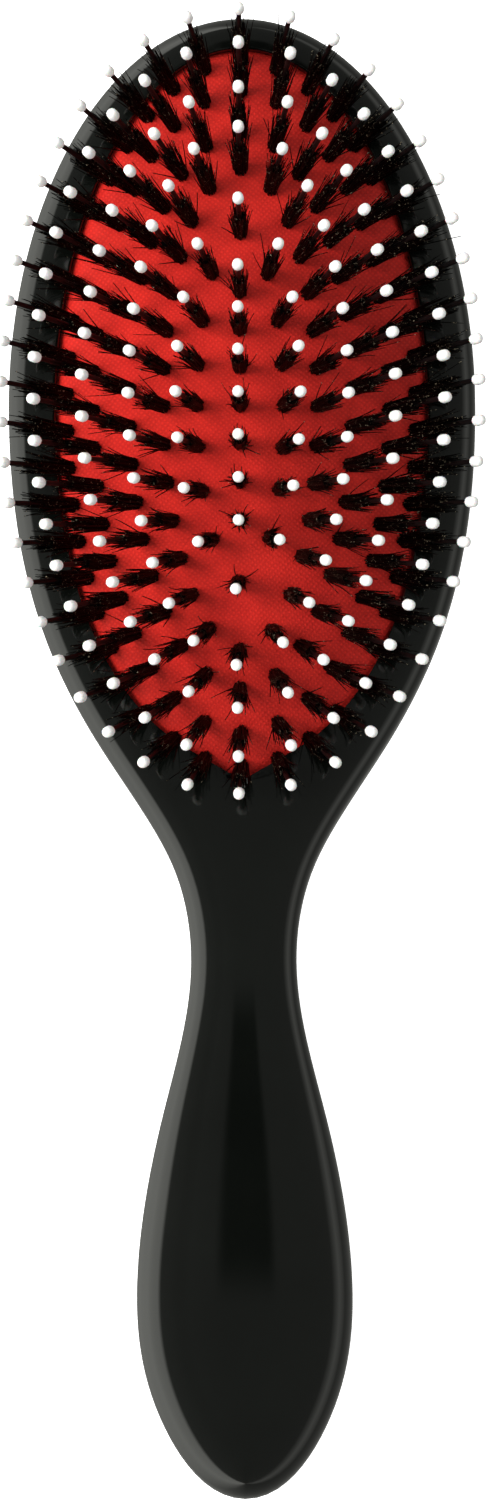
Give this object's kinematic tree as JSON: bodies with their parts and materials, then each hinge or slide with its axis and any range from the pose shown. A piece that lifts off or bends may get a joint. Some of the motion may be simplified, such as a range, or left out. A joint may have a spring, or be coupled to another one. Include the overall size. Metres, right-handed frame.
{
  "type": "bristle brush",
  "caption": "Cushion grooming brush: an oval head with a domed, air-backed pad of pinned bristle tufts, and a slim neck that swells to a rounded handle.",
  "frame": {"origin": "middle of the flat resting face on the head's back, level with the widest place of the head", "axes": "+X across the brush, +Y along it towards the head's tip, +Z out of the back towards the bristle tips"},
  "size_m": [0.0774, 0.235, 0.0435],
  "materials": {
    "body_plastic": "polished black moulded plastic",
    "cushion_rubber": "soft matt rubber",
    "pad_cloth": "fine plain-woven cloth bonded to the rubber",
    "pin_nylon": "smooth nylon",
    "ball_tip": "smooth rounded white coating",
    "bristle": "stiff black bristle with a slight shine",
    "binding": "moulded ring"
  },
  "bodies": {
    "brush_body": {"front_shell": "body_plastic", "back_shell": "body_plastic", "cushion_pad": "cushion_rubber", "pad_cloth": "pad_cloth"},
    "ring1_tufts": {"ring1_pins": "pin_nylon", "ring1_ball_tips": "ball_tip", "ring1_bristle_tufts": "bristle", "ring1_bindings": "binding"},
    "ring2_tufts": {"ring2_pins": "pin_nylon", "ring2_ball_tips": "ball_tip", "ring2_bristle_tufts": "bristle", "ring2_bindings": "binding"},
    "ring3_tufts": {"ring3_pins": "pin_nylon", "ring3_ball_tips": "ball_tip", "ring3_bristle_tufts": "bristle", "ring3_bindings": "binding"},
    "ring4_tufts": {"ring4_pins": "pin_nylon", "ring4_ball_tips": "ball_tip", "ring4_bristle_tufts": "bristle", "ring4_bindings": "binding"},
    "ring5_tufts": {"ring5_pins": "pin_nylon", "ring5_ball_tips": "ball_tip", "ring5_bristle_tufts": "bristle", "ring5_bindings": "binding"},
    "centre_row_tufts": {"centre_row_pins": "pin_nylon", "centre_row_ball_tips": "ball_tip", "centre_row_bristle_tufts": "bristle", "centre_row_bindings": "binding"}
  },
  "joints": [
    {"name": "cushion_press", "type": "slide", "parent": "brush_body", "child": "centre_row_tufts", "axis": [0, 0, -1], "range_m": [0, 0.005], "stiffness_N_per_m": 900, "deforming": ["cushion_pad", "pad_cloth"]},
    {"name": "ring1_press", "type": "slide", "parent": "brush_body", "child": "ring1_tufts", "axis": [0, 0, -1], "range_m": [0, 0.00055], "stiffness_N_per_m": 5980},
    {"name": "ring2_press", "type": "slide", "parent": "brush_body", "child": "ring2_tufts", "axis": [0, 0, -1], "range_m": [0, 0.00166], "stiffness_N_per_m": 5200},
    {"name": "ring3_press", "type": "slide", "parent": "brush_body", "child": "ring3_tufts", "axis": [0, 0, -1], "range_m": [0, 0.00293], "stiffness_N_per_m": 4420},
    {"name": "ring4_press", "type": "slide", "parent": "brush_body", "child": "ring4_tufts", "axis": [0, 0, -1], "range_m": [0, 0.00383], "stiffness_N_per_m": 3640},
    {"name": "ring5_press", "type": "slide", "parent": "brush_body", "child": "ring5_tufts", "axis": [0, 0, -1], "range_m": [0, 0.00463], "stiffness_N_per_m": 2080}
  ],
  "couplings": [
    {"joint": "ring1_press", "follows": "cushion_press", "ratio": 0.105},
    {"joint": "ring2_press", "follows": "cushion_press", "ratio": 0.327},
    {"joint": "ring3_press", "follows": "cushion_press", "ratio": 0.581},
    {"joint": "ring4_press", "follows": "cushion_press", "ratio": 0.762},
    {"joint": "ring5_press", "follows": "cushion_press", "ratio": 0.922}
  ]
}
